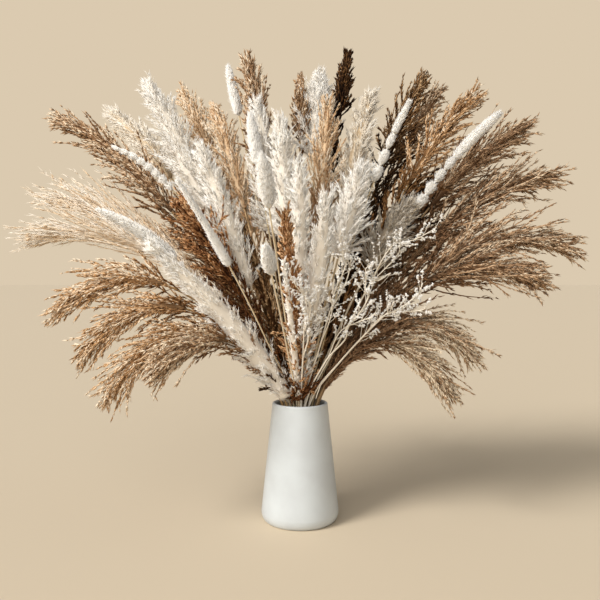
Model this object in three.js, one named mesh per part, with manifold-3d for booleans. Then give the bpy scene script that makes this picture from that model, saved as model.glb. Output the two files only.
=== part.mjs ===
// A vase of dried grasses: white pampas plumes, tan, rust, brown and taupe reeds, white foxtail
// spikes, two bunny tails and five sprays of caspia, standing in a tapered ceramic vase.
//
// Millimetres, +Z up, the front of the bunch faces -Y. The origin is the middle of the vase's foot.
// Every stem is one closed body, from its cut end on the vase's floor to the tip of its head, and
// the stems settle apart until each pair of them clears.

import * as THREE from "three";
import { mergeVertices } from "three/addons/utils/BufferGeometryUtils.js";
import Module from "manifold-3d";

// The vase.
const vaseHeight = 154;
const vaseRimRadius = 36.2;
const vaseBellyRadius = 50.5;
const vaseBellyHeight = 13;
const vaseFootRadius = 43;
const vaseWall = 4.5;
const vaseFloor = 6;
const vaseSides = 44;

// The bunch above the vase's rim. Tips are placed as shares of these three.
const bunchHalfWidth = 350;
const bunchHalfDepth = 225;
const bunchHeight = 459;

// The stems.
const grassStalkRadius = 1.3;
const fineStalkRadius = 0.9;
const twigRadius = 0.8;
const stemSides = 6;
const stemGap = 0.35; // least air between two stems
const wallGap = 0.5; // least air between a stem and the vase
const rimGap = 1.5; // more air between the bundle and the rim, for the stems to settle into
const bellyRoom = 8; // how far past the rim's inside a stem may spread, lower in the vase
const stemLift = 5; // stems start to lean out this far above the rim
const steepestLean = 1.7; // radians from upright of the stem that passes nearest the rim
const gatherAtFloor = 0.55; // how much narrower the bundle is at the vase's floor
const reachInRadius = 6; // the room left clear at the back of the mouth
const reachInBack = 20;
const stalkStep = 55; // about how far apart a stalk's rings are, above the rim
const turnShares = [0, 0.5, 0.9, 1.08]; // rings below the rim and round it, as shares of stemTurn

// How the stems settle.
const settleRounds = 400;
const pushShare = 0.6; // how much of an overlap one push takes up on each side
const sideways = 0.45; // how far a push goes sideways or up, against 1 from front to back
const smoothing = 0.35;

// Where a head's width lies along it: 0 at its base, 1 at its tip. A larger early sets the widest
// place nearer the tip, and a smaller blunt makes the head more like a cylinder.
const headShapes = {
  plume: { early: 0.85, blunt: 0.75 },
  panicle: { early: 0.75, blunt: 0.9 },
  spike: { early: 0.8, blunt: 0.45 },
  tail: { early: 0.85, blunt: 0.5 },
};
const headSteps = [0, 0.12, 0.3, 0.5, 0.7, 0.88, 1];

// Each kind of stem: its head's shape, its stalk and its colours.
const kinds = {
  pampas_white: { shape: "plume", stalk: grassStalkRadius, colour: "#efebe4" },
  pampas_beige: { shape: "plume", stalk: grassStalkRadius, colour: "#ddc9ae" },
  pampas_grey: { shape: "plume", stalk: grassStalkRadius, colour: "#d3cbc2" },
  foxtail: { shape: "spike", stalk: fineStalkRadius, colour: "#efebe3" },
  bunny_tail: { shape: "tail", stalk: fineStalkRadius, colour: "#e9e6df" },
  reed_tan: { shape: "panicle", stalk: grassStalkRadius, colour: "#c9a273" },
  reed_rust: { shape: "panicle", stalk: grassStalkRadius, colour: "#a3602f" },
  reed_brown: { shape: "panicle", stalk: grassStalkRadius, colour: "#6b4526" },
  reed_taupe: { shape: "panicle", stalk: grassStalkRadius, colour: "#a88e70" },
  caspia: { shape: "spray", stalk: fineStalkRadius, colour: "#e6dccb" },
};

// Every stem of each kind. tip: across, back and up, as shares of the bunch's half-width, half-depth
// and height. bow: how far the stem arches above the straight way to its tip, as a share of it.
// head: the head's length and radius.
const stems = {
  pampas_white: [
    { tip: [-0.49, -0.48, 0.44], bow: 0.08, head: [195, 14] },
    { tip: [-0.59, 0.17, 0.93], bow: 0.06, head: [200, 14] },
    { tip: [-0.34, -0.2, 0.7], bow: 0.06, head: [185, 14] },
    { tip: [-0.16, 0.02, 0.86], bow: 0.04, head: [180, 12] },
    { tip: [-0.07, -0.2, 0.78], bow: 0.03, head: [150, 12] },
    { tip: [0.0, -0.44, 0.64], bow: 0.03, head: [190, 15] },
    { tip: [0.09, -0.56, 0.56], bow: 0.03, head: [160, 13] },
    { tip: [0.08, 0.4, 0.98], bow: 0.04, head: [130, 9] },
    { tip: [0.22, -0.26, 0.65], bow: 0.1, head: [120, 11] },
    { tip: [-0.05, -0.5, 0.4], bow: 0.03, head: [115, 5.5] },
  ],
  pampas_beige: [
    { tip: [0.27, 0.09, 0.89], bow: 0.1, head: [150, 12] },
    { tip: [-0.79, 0.48, 0.88], bow: 0.2, head: [150, 10] },
    { tip: [-0.34, 0.78, 0.8], bow: 0.18, head: [170, 14] },
    { tip: [0.27, 0.82, 0.8], bow: 0.18, head: [170, 14] },
  ],
  pampas_grey: [
    { tip: [0.41, -0.09, 0.57], bow: 0.15, head: [105, 10] },
  ],
  foxtail: [
    { tip: [-0.39, -0.57, 0.59], bow: 0.1, head: [122, 6.5] },
    { tip: [-0.65, -0.52, 0.52], bow: 0.22, head: [110, 7.5] },
    { tip: [-0.28, 0.22, 0.98], bow: 0.06, head: [72, 6.5] },
    { tip: [-0.18, -0.1, 0.8], bow: 0.04, head: [66, 8] },
    { tip: [-0.65, -0.26, 0.7], bow: 0.32, head: [95, 4.5] },
    { tip: [0.38, -0.26, 0.82], bow: 0.18, head: [110, 5] },
    { tip: [0.71, -0.17, 0.8], bow: 0.2, head: [160, 6.5] },
  ],
  bunny_tail: [
    { tip: [-0.115, -0.74, 0.63], bow: 0.04, head: [62, 8.5] },
    { tip: [-0.1, -0.84, 0.42], bow: 0.04, head: [40, 7.2] },
  ],
  reed_tan: [
    { tip: [-0.91, 0.04, 0.81], bow: 0.26, head: [200, 17] },
    { tip: [-0.49, 0.52, 0.95], bow: 0.1, head: [150, 12] },
    { tip: [-0.34, 0.26, 0.88], bow: 0.06, head: [160, 12] },
    { tip: [0.11, 0.04, 0.86], bow: 0.05, head: [140, 11] },
    { tip: [-0.98, 0.15, 0.57], bow: 0.34, head: [180, 14] },
    { tip: [-0.96, -0.13, 0.44], bow: 0.46, head: [175, 12] },
    { tip: [-0.47, -0.48, 0.11], bow: 0.66, head: [105, 9] },
    { tip: [-0.7, 0.76, 0.5], bow: 0.35, head: [160, 14] },
  ],
  reed_rust: [
    { tip: [-0.42, -0.3, 0.56], bow: 0.14, head: [130, 10] },
    { tip: [-0.05, -0.6, 0.52], bow: 0.03, head: [110, 8.5] },
    { tip: [-0.87, -0.17, 0.26], bow: 0.58, head: [150, 11] },
    { tip: [-0.66, -0.35, 0.04], bow: 0.76, head: [145, 10] },
  ],
  reed_brown: [
    { tip: [-0.2, 0.14, 1.0], bow: 0.05, head: [130, 11] },
    { tip: [-0.23, -0.14, 0.5], bow: 0.1, head: [120, 10] },
    { tip: [0.0, 0.35, 0.97], bow: 0.03, head: [100, 4.5] },
    { tip: [0.18, 0.09, 1.0], bow: 0.06, head: [90, 7] },
    { tip: [0.5, 0.39, 0.98], bow: 0.12, head: [150, 12] },
    { tip: [0.67, 0.09, 0.89], bow: 0.2, head: [160, 13] },
    { tip: [0.54, 0.17, 0.64], bow: 0.25, head: [120, 11] },
    { tip: [-0.76, -0.26, 0.14], bow: 0.7, head: [150, 10] },
    { tip: [-0.12, 1.0, 0.46], bow: 0.4, head: [150, 13] },
  ],
  reed_taupe: [
    { tip: [0.6, 0.6, 0.97], bow: 0.15, head: [150, 13] },
    { tip: [0.85, 0.04, 0.78], bow: 0.26, head: [170, 14] },
    { tip: [0.97, 0.02, 0.64], bow: 0.34, head: [190, 13] },
    { tip: [0.99, -0.13, 0.42], bow: 0.46, head: [190, 13] },
    { tip: [0.84, -0.26, 0.33], bow: 0.5, head: [150, 11] },
    { tip: [0.63, -0.09, 0.13], bow: 0.7, head: [120, 9] },
    { tip: [0.51, -0.3, 0.05], bow: 0.82, head: [110, 8] },
    { tip: [0.7, 0.78, 0.5], bow: 0.36, head: [160, 13] },
    { tip: [0.33, 0.98, 0.22], bow: 0.6, head: [140, 12] },
  ],
  caspia: [
    { tip: [0.02, -0.68, 0.39], bow: 0.05 },
    { tip: [0.2, -0.58, 0.5], bow: 0.08 },
    { tip: [0.28, -0.76, 0.39], bow: 0.1 },
    { tip: [0.42, -0.52, 0.52], bow: 0.14 },
    { tip: [0.48, -0.68, 0.37], bow: 0.16 },
  ],
};

// A caspia spray's side twigs: where each leaves its stem, as a share of the stem above the rim, its
// length and how far round the stem it points, in radians from the spray's right.
const twigs = [
  { from: 0.42, length: 62, round: 0.2 },
  { from: 0.54, length: 58, round: 3.3 },
  { from: 0.66, length: 46, round: -0.3 },
  { from: 0.78, length: 36, round: 2.9 },
];
const twigSpread = 0.62; // radians between a twig and its stem

const rimInnerRadius = vaseRimRadius - vaseWall;
const bundleRadius = rimInnerRadius - grassStalkRadius - wallGap - rimGap;
const stemFoot = vaseFloor + wallGap;
const stemTurn = vaseHeight + stemLift;

// The vase's outside, which tapers in a straight line from its belly to its rim.
function vaseRadiusAt(height) {
  const share = (height - vaseBellyHeight) / (vaseHeight - vaseBellyHeight);
  return THREE.MathUtils.lerp(vaseBellyRadius, vaseRimRadius, Math.max(share, 0));
}

// Points of an elliptical arc about a centre, from one angle to another.
function arc(centre, radii, from, to, steps) {
  const points = [];
  for (let step = 0; step <= steps; step += 1) {
    const angle = THREE.MathUtils.lerp(from, to, step / steps);
    const across = centre[0] + radii[0] * Math.cos(angle);
    points.push(new THREE.Vector2(across, centre[1] + radii[1] * Math.sin(angle)));
  }
  return points;
}

// The vase as one wall turned about its axis: foot, belly, rolled rim, inside and floor.
function buildVase() {
  const lip = vaseWall / 2;
  const lipCentre = [vaseRimRadius - lip, vaseHeight - lip];
  const corner = vaseBellyRadius - vaseFootRadius;
  const insideCorner = [corner, vaseBellyHeight - vaseFloor / 2];
  const insideCentre = [vaseFootRadius - vaseWall, vaseFloor + insideCorner[1]];
  const outline = [
    new THREE.Vector2(0, 0),
    ...arc([vaseFootRadius, vaseBellyHeight], [corner, vaseBellyHeight], -Math.PI / 2, 0, 5),
    ...arc(lipCentre, [lip, lip], 0, Math.PI, 6),
    ...arc(insideCentre, insideCorner, 0, -Math.PI / 2, 4),
    new THREE.Vector2(0, vaseFloor),
  ];
  const geometry = new THREE.LatheGeometry(outline, vaseSides);
  return geometry.rotateX(Math.PI / 2);
}

// A stem's width along its head, from the stalk's radius at its base to a point at its tip.
function headRadius(shape, radius, share) {
  const { early, blunt } = headShapes[shape];
  return radius * Math.sin(Math.PI * share ** early) ** blunt;
}

// The way of a stem: up through the vase, out over the rim and arching to its tip.
function stemCurve(tipShares, bow) {
  const [across, back, up] = tipShares;
  const tip = new THREE.Vector3(
    across * bunchHalfWidth, back * bunchHalfDepth, vaseHeight + up * bunchHeight,
  );
  const out = new THREE.Vector2(across, back);
  const lean = Math.atan2(Math.hypot(tip.x, tip.y), tip.z - vaseHeight);
  out.setLength(bundleRadius * Math.sqrt(lean / steepestLean));
  const turn = new THREE.Vector3(out.x, out.y, stemTurn);
  const foot = new THREE.Vector3(out.x * gatherAtFloor, out.y * gatherAtFloor, stemFoot);
  const control = turn.clone().lerp(tip, 0.5);
  control.z += bow * turn.distanceTo(tip);
  const arch = new THREE.QuadraticBezierCurve3(turn, control, tip);
  const inside = foot.clone().lerp(turn, 0.5);
  return new THREE.CatmullRomCurve3([foot, inside, ...arch.getPoints(8)]);
}

// A strand is what settles: points along a stem or twig, and its radius at each.
function makeStrand(points, radii, stem) {
  return { points, radii, stem, shifts: points.map(() => new THREE.Vector3()) };
}

// Places along a stem, as shares of its length, for its rings: closer together where it turns over
// the rim, then evenly to the head.
function stalkShares(length, headLength) {
  const shares = turnShares.map((share) => share * stemTurn / length);
  const last = shares[shares.length - 1];
  const free = 1 - headLength / length - last;
  const steps = Math.max(Math.round(free * length / stalkStep), 1);
  for (let step = 1; step < steps; step += 1) {
    shares.push(last + free * step / steps);
  }
  return shares;
}

// A grass stem: a stalk of one radius, then its head.
function grassStrand(kind, stem, name) {
  const curve = stemCurve(stem.tip, stem.bow);
  const length = curve.getLength();
  const [headLength, headWidest] = stem.head;
  const stalk = stalkShares(length, headLength);
  const head = headSteps.map((step) => 1 - headLength * (1 - step) / length);
  const points = [...stalk, ...head].map((share) => curve.getPointAt(Math.min(share, 1)));
  const radii = [
    ...stalk.map(() => kind.stalk),
    ...headSteps.map((step) => headRadius(kind.shape, headWidest, step)),
  ];
  radii[stalk.length] = kind.stalk;
  radii[radii.length - 1] = 0;
  return makeStrand(points, radii, name);
}

// A caspia spray: a tapering stem and the twigs that leave it.
function sprayStrands(kind, stem, name) {
  const curve = stemCurve(stem.tip, stem.bow);
  const length = curve.getLength();
  const steps = [...stalkShares(length, 0), 1];
  const points = steps.map((share) => curve.getPointAt(share));
  const radii = steps.map((share) => THREE.MathUtils.lerp(kind.stalk, twigRadius / 2, share ** 2));
  radii[radii.length - 1] = 0;
  const main = makeStrand(points, radii, name);
  const side = twigs.map((twig) => twigStrand(main, twig, name));
  return [main, ...side];
}

// One twig of a spray, from a ring of its stem, curving up towards the stem's own way.
function twigStrand(main, twig, name) {
  const rings = main.points.length;
  const firstFree = main.points.findIndex((point) => point.z > stemTurn);
  const at = Math.min(firstFree + Math.round(twig.from * (rings - firstFree)), rings - 2);
  const start = main.points[at];
  const along = main.points[at + 1].clone().sub(start).normalize();
  const right = new THREE.Vector3(0, 1, 0).cross(along).normalize();
  const outward = right.applyAxisAngle(along, twig.round);
  const steps = [0, 0.35, 0.7, 1];
  const points = steps.map((share) => {
    const spread = twig.length * share * Math.sin(twigSpread) * (1 - 0.3 * share);
    const rise = twig.length * share * Math.cos(twigSpread) * (1 + 0.2 * share);
    return start.clone().addScaledVector(outward, spread).addScaledVector(along, rise);
  });
  const radii = steps.map((share) => twigRadius * (1 - 0.4 * share));
  radii[radii.length - 1] = 0;
  return { ...makeStrand(points, radii, name), main, at };
}

// The room left clear at the back of the mouth, which the stems settle round. It stays where it is.
function clearRoom() {
  const heights = [stemFoot, vaseHeight / 2, vaseHeight, stemTurn];
  const points = heights.map((height) => new THREE.Vector3(0, reachInBack, height));
  return { ...makeStrand(points, heights.map(() => reachInRadius), "room"), fixed: true };
}

// The nearest points of two segments, as shares of each.
function nearestShares(a, b, c, d) {
  const ab = b.clone().sub(a);
  const cd = d.clone().sub(c);
  const ca = a.clone().sub(c);
  const abab = ab.dot(ab);
  const cdcd = cd.dot(cd);
  const abcd = ab.dot(cd);
  const abca = ab.dot(ca);
  const cdca = cd.dot(ca);
  const spread = abab * cdcd - abcd * abcd;
  const clamp = THREE.MathUtils.clamp;
  let first = spread > 1e-9 ? clamp((abcd * cdca - abca * cdcd) / spread, 0, 1) : 0.5;
  const second = clamp((abcd * first + cdca) / cdcd, 0, 1);
  first = clamp((abcd * second - abca) / abab, 0, 1);
  return [first, second];
}

// Where a strand's segment is now, with a sphere round it for a quick test.
function placedSegments(strand) {
  const placed = strand.points.map((point, index) => point.clone().add(strand.shifts[index]));
  const segments = [];
  for (let index = 0; index + 1 < placed.length; index += 1) {
    const [from, to] = [placed[index], placed[index + 1]];
    const radii = [strand.radii[index], strand.radii[index + 1]];
    const reach = from.distanceTo(to) / 2 + Math.max(...radii);
    segments.push({ strand, index, from, to, radii, reach, middle: from.clone().lerp(to, 0.5) });
  }
  return segments;
}

// Moves the two ends of a segment by a push that acts part of the way along it.
function pushSegment(segment, share, push) {
  if (segment.strand.fixed) {
    return;
  }
  segment.strand.shifts[segment.index].addScaledVector(push, 1 - share);
  segment.strand.shifts[segment.index + 1].addScaledVector(push, share);
}

// Pushes two segments apart if they are too near each other, and gives back how much too near.
function partSegments(one, two) {
  const range = one.reach + two.reach + 2 * stemGap;
  if (one.middle.distanceToSquared(two.middle) > range * range) {
    return 0;
  }
  const [first, second] = nearestShares(one.from, one.to, two.from, two.to);
  const apart = one.from.clone().lerp(one.to, first);
  apart.sub(two.from.clone().lerp(two.to, second));
  const radius = THREE.MathUtils.lerp(...one.radii, first)
    + THREE.MathUtils.lerp(...two.radii, second);
  const lack = radius + 2 * stemGap - apart.length();
  if (lack <= 0) {
    return 0;
  }
  const push = apart.normalize().multiplyScalar(pushShare * lack);
  if (one.from.z > stemTurn) {
    push.x *= sideways;
    push.z *= sideways;
  }
  pushSegment(one, first, push);
  pushSegment(two, second, push.negate());
  return lack;
}

// Spreads each shift to its neighbours, so that a pushed stem bends gently, and keeps a twig on its
// stem.
function smoothShifts(strand) {
  const before = strand.shifts.map((shift) => shift.clone());
  strand.shifts.forEach((shift, index) => {
    const lower = before[Math.max(index - 1, 0)];
    const upper = before[Math.min(index + 1, before.length - 1)];
    shift.lerp(lower.clone().lerp(upper, 0.5), smoothing);
  });
  if (strand.main) {
    strand.shifts[0].copy(strand.main.shifts[strand.at]);
  }
}

// Keeps the part of a stem that is inside the vase off its wall, and its cut end on its floor.
function keepInVase(strand) {
  strand.points.forEach((point, index) => {
    const shift = strand.shifts[index];
    const place = point.clone().add(shift);
    if (place.z > stemTurn + stemLift) {
      return;
    }
    shift.z = 0;
    const wall = vaseRadiusAt(Math.min(place.z, vaseHeight)) - vaseWall;
    const most = Math.min(wall, rimInnerRadius + bellyRoom) - strand.radii[index] - 2 * wallGap;
    const out = Math.hypot(place.x, place.y);
    if (out > most) {
      shift.x = place.x * most / out - point.x;
      shift.y = place.y * most / out - point.y;
    }
  });
}

// Moves the strands apart until all of them clear each other.
function settle(strands) {
  const loose = strands.filter((strand) => !strand.fixed);
  for (let round = 0; round < settleRounds; round += 1) {
    const segments = strands.flatMap(placedSegments);
    let worst = 0;
    segments.forEach((one, index) => {
      for (const two of segments.slice(index + 1)) {
        if (one.strand.stem !== two.strand.stem) {
          worst = Math.max(worst, partSegments(one, two));
        }
      }
    });
    if (worst < stemGap) {
      return;
    }
    loose.forEach(smoothShifts);
    loose.forEach(keepInVase);
  }
}

// A closed solid round a strand: a turned profile, with each of its rings set square to the strand.
function strandGeometry(strand) {
  const centres = strand.points.map((point, index) => point.clone().add(strand.shifts[index]));
  const profile = [new THREE.Vector2(0, 0)];
  strand.radii.forEach((radius, index) => profile.push(new THREE.Vector2(radius, index)));
  const geometry = new THREE.LatheGeometry(profile, stemSides);
  const places = geometry.getAttribute("position");
  const side = new THREE.Vector3(1, 0, 0);
  const frames = centres.map((centre, index) => {
    const before = centres[Math.max(index - 1, 0)];
    const after = centres[Math.min(index + 1, centres.length - 1)];
    const along = after.clone().sub(before).normalize();
    side.addScaledVector(along, -side.dot(along)).normalize();
    return { centre, side: side.clone(), front: side.clone().cross(along) };
  });
  for (let index = 0; index < places.count; index += 1) {
    const { centre, side: across, front } = frames[Math.max(index % profile.length - 1, 0)];
    const place = centre.clone()
      .addScaledVector(across, places.getX(index))
      .addScaledVector(front, places.getZ(index));
    places.setXYZ(index, place.x, place.y, place.z);
  }
  return geometry;
}

const wasm = await Module();
wasm.setup();

// A closed geometry as a solid that can be joined to others.
function solidOf(geometry) {
  const bare = geometry.clone();
  bare.deleteAttribute("normal");
  bare.deleteAttribute("uv");
  const merged = mergeVertices(bare, 1e-4);
  const triVerts = Uint32Array.from(merged.index.array);
  const vertProperties = Float32Array.from(merged.getAttribute("position").array);
  return new wasm.Manifold(new wasm.Mesh({ numProp: 3, vertProperties, triVerts }));
}

// Joins the strands of one spray into one body.
function joinedGeometry(strands) {
  const [first, ...others] = strands.map((strand) => solidOf(strandGeometry(strand)));
  const joined = others.reduce((whole, twig) => whole.add(twig), first).getMesh();
  const geometry = new THREE.BufferGeometry();
  geometry.setAttribute("position", new THREE.BufferAttribute(joined.vertProperties, 3));
  geometry.setIndex(new THREE.BufferAttribute(joined.triVerts, 1));
  return geometry;
}

function addMesh(group, name, geometry, colour, roughness) {
  const material = new THREE.MeshStandardMaterial({ color: colour, roughness, metalness: 0 });
  const mesh = new THREE.Mesh(geometry, material);
  mesh.name = name;
  group.add(mesh);
}

// Every stem of every kind as its strands, in one list for each stem.
function makeStems() {
  return Object.entries(stems).flatMap(([kindName, list]) => list.map((stem, index) => {
    const kind = kinds[kindName];
    const name = `${kindName}_${String(index + 1).padStart(2, "0")}`;
    const strands = kind.shape === "spray"
      ? sprayStrands(kind, stem, name)
      : [grassStrand(kind, stem, name)];
    return { name, kind, strands };
  }));
}

function buildBunch() {
  const group = new THREE.Group();
  addMesh(group, "vase", buildVase(), "#edebe4", 0.35);
  const made = makeStems();
  settle([clearRoom(), ...made.flatMap((stem) => stem.strands)]);
  for (const { name, kind, strands } of made) {
    const geometry = strands.length > 1 ? joinedGeometry(strands) : strandGeometry(strands[0]);
    addMesh(group, name, geometry, kind.colour, 0.9);
  }
  return group;
}

export default buildBunch();
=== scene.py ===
"""A bunch of dried grasses in a glazed vase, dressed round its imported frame.

Every stem of the frame gives its own centreline. A stem's stalk is swept along that line, and its
plume, panicle, spike, tail or spray is grown from it as thousands of closed, bent fibres. The vase
is turned again as a smooth shell. Lengths are metres, +Z up, and the front of the bunch faces -Y.
"""

import logging
import math
from collections.abc import Sequence
from dataclasses import dataclass, field
from enum import Enum

import bmesh
import bpy
import numpy as np
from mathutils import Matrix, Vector


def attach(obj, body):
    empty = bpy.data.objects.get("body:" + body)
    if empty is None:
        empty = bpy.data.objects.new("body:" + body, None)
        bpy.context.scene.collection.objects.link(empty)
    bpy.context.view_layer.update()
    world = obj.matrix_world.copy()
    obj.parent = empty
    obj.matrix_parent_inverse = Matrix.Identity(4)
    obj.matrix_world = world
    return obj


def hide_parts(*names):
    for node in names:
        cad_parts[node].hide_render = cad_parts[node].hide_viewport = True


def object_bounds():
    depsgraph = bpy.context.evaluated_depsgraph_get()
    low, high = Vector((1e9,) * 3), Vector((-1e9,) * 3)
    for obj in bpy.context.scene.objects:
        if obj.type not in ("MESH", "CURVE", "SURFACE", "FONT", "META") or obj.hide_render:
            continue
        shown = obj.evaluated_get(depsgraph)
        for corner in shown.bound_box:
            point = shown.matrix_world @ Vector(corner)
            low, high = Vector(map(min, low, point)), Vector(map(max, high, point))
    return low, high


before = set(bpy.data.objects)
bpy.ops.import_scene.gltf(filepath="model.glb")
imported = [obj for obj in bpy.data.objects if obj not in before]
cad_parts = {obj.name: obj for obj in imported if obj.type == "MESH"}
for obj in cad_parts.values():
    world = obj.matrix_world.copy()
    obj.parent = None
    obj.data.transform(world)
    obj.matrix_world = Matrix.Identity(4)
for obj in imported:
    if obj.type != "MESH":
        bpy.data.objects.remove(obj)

CAD_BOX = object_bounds()
BODY = "root"
FIBRE_MAP = "OFBake"  # the name of every fibre's UV map: along the fibre, and its tone
UP = np.array((0.0, 0.0, 1.0))
GOLDEN_ANGLE = math.pi * (3 - math.sqrt(5))

Array = np.ndarray
Pair = tuple[float, float]
Triple = tuple[float, float, float]
Colour = tuple[float, float, float, float]

log = logging.getLogger("bunch")


def mm(length: float) -> float:
    """Millimetres in metres."""
    return length / 1000


CLEAR_OF_RIM = mm(162)  # how far up a stem its lowest branch may leave it
CLEAR_OF_TABLE = mm(2)
# Fibres end inside the frame's box, let out a little for what stands proud of the solid heads.
SHORTEST_SHARE = 0.15
PROUD_SHARE = 0.028
PROUD = mm(9)


class Band(Enum):
    """The band of the fibre map's second coordinate that each sort of tissue has to itself."""

    STALK = (0.02, 0.10)
    SEED = (0.15, 0.42)
    HAIR = (0.47, 0.97)

    def tones(self, shares: Array) -> Array:
        """Places in this band for tones from 0, its darkest, to 1, its lightest."""
        low, high = self.value
        return low + (high - low) * np.clip(shares, 0, 1)

    @classmethod
    def strand(cls, tones: Array) -> Array:
        """Places for strands: hair tones from 0 up, and well below 0 the seeds' darker tones, used
        for strands darkened as painted shade.
        """
        return np.where(tones < -0.45, cls.SEED.tones(1 + tones), cls.HAIR.tones(tones))


# ---- Finishes ----


def linear(colour: str) -> Colour:
    """Turns an sRGB hex colour into a linear one.

    Args:
        colour: six hex digits after a #.

    Returns:
        Linear red, green and blue, and an alpha of 1.
    """
    parts = [int(colour[start:start + 2], 16) / 255 for start in (1, 3, 5)]
    red, green, blue = (
        part / 12.92 if part <= 0.04045 else ((part + 0.055) / 1.055) ** 2.4 for part in parts
    )
    return (red, green, blue, 1.0)


def dress(
    node: bpy.types.Node, settings: dict | None = None, **links: bpy.types.NodeSocket
) -> bpy.types.Node:
    """Sets a shader node's values and links.

    Args:
        node: the node.
        settings: attributes of the node, and inputs by name or place, with their values.
        links: inputs, as in0 or in_Name with _ for a space, with the sockets that feed them.

    Returns:
        The node.
    """
    for name, value in (settings or {}).items():
        if isinstance(name, int) or name in node.inputs:
            node.inputs[name].default_value = value
        else:
            setattr(node, name, value)
    for name, source in links.items():
        key = name[2:]
        target = node.inputs[int(key)] if key.isdigit() else node.inputs[key[1:].replace("_", " ")]
        node.id_data.links.new(source, target)
    return node


def add_node(
    owner: bpy.types.Material | bpy.types.World, kind: str, settings: dict | None = None,
    **links: bpy.types.NodeSocket,
) -> bpy.types.Node:
    """Adds a shader node of a kind to its owner's tree, set and linked as dress does it."""
    return dress(owner.node_tree.nodes.new(kind), settings, **links)


def new_material(name: str) -> tuple[bpy.types.Material, bpy.types.Node]:
    """Makes a material with a bare shader.

    Args:
        name: the material's name.

    Returns:
        The material and its Principled shader.
    """
    material = bpy.data.materials.new(name)
    material.use_nodes = True
    return material, material.node_tree.nodes["Principled BSDF"]


def fill_ramp(ramp: bpy.types.ColorRamp, stops: Sequence[tuple[float, Sequence[float]]]) -> None:
    """Sets a ramp's stops.

    Args:
        ramp: the ramp to fill.
        stops: places from 0 to 1 with their linear colours.
    """
    while len(ramp.elements) < len(stops):
        ramp.elements.new(1.0)
    for element, (place, colour) in zip(ramp.elements, stops, strict=True):
        element.position = place
        element.color = colour


@dataclass(frozen=True)
class DriedFibre:
    """Air-dried and bleached plant fibre.

    Dry cellulose is matt and a little silky, so it is rough with a faint sheen. Stalks, seeds and
    hairs each have a band of the fibre map, and every fibre is darker at its root: painted shade
    for the depth of the bunch.
    """

    name: str
    stalk: str
    seed_dark: str
    seed_light: str
    hair_dark: str
    hair_middle: str
    hair_light: str
    # root_shade: painted shade, the grey that darkens each fibre's root end, deep in the bunch
    root_shade: float = 0.66
    streak: float = 0.16
    roughness: float = 0.85
    gloss: float = 0.1
    sheen: float = 0.0
    sheen_roughness: float = 0.6
    glow: float = 0.0
    glow_reach: Triple = (1.0, 0.85, 0.7)
    glow_depth: float = mm(3)
    middle_tone: float = 0.72
    root_ends: float = 0.45
    past_root: float = 0.95
    streak_scale: Triple = (3.0, 90.0, 1.0)

    def material(self) -> bpy.types.Material:
        """Builds the material, or finds it once it is built.

        Returns:
            The material.
        """
        if self.name in bpy.data.materials:
            return bpy.data.materials[self.name]
        material, shader = new_material(self.name)
        uv = add_node(material, "ShaderNodeUVMap", {"uv_map": FIBRE_MAP})
        split = add_node(material, "ShaderNodeSeparateXYZ", in0=uv.outputs["UV"])
        tone = add_node(material, "ShaderNodeValToRGB", in0=split.outputs["Y"])
        places = (
            Band.STALK.value[1], *Band.SEED.value, Band.HAIR.value[0], self.middle_tone,
            Band.HAIR.value[1],
        )
        colours = (
            self.stalk, self.seed_dark, self.seed_light, self.hair_dark, self.hair_middle,
            self.hair_light,
        )
        fill_ramp(tone.color_ramp, list(zip(places, map(linear, colours))))
        # Painted shade: every fibre and stalk is darkened towards its root by root_shade.
        shade = add_node(material, "ShaderNodeValToRGB", in0=split.outputs["X"])
        shades = ((0.0, self.root_shade), (self.root_ends, self.past_root), (1.0, 1.0))
        fill_ramp(shade.color_ramp, [(place, (grey, grey, grey, 1.0)) for place, grey in shades])
        multiply = {"data_type": "RGBA", "blend_type": "MULTIPLY", 0: 1.0}
        shaded = add_node(
            material, "ShaderNodeMix", multiply,
            in6=tone.outputs["Color"], in7=shade.outputs["Color"],
        )
        # Streaks run along the fibres: three to a fibre's length, and a new one every few fibres.
        stretched = add_node(
            material, "ShaderNodeMapping", {"Scale": self.streak_scale}, in0=uv.outputs["UV"]
        )
        noise = add_node(
            material, "ShaderNodeTexNoise", {"Scale": 1.0, "Detail": 2.0},
            in_Vector=stretched.outputs["Vector"],
        )
        streaks = add_node(
            material, "ShaderNodeMapRange",
            {"From Min": 0.3, "From Max": 0.7, "To Min": 1 - self.streak, "To Max": 1.0},
            in_Value=noise.outputs["Fac"],
        )
        coloured = add_node(
            material, "ShaderNodeMix", multiply,
            in6=shaded.outputs[2], in7=streaks.outputs["Result"],
        )
        look = {
            "Roughness": self.roughness, "Specular IOR Level": self.gloss,
            "Sheen Weight": self.sheen, "Sheen Roughness": self.sheen_roughness,
            "Subsurface Weight": self.glow, "Subsurface Radius": self.glow_reach,
            "Subsurface Scale": self.glow_depth,
        }
        dress(shader, look, in_Base_Color=coloured.outputs[2])
        return material


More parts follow.
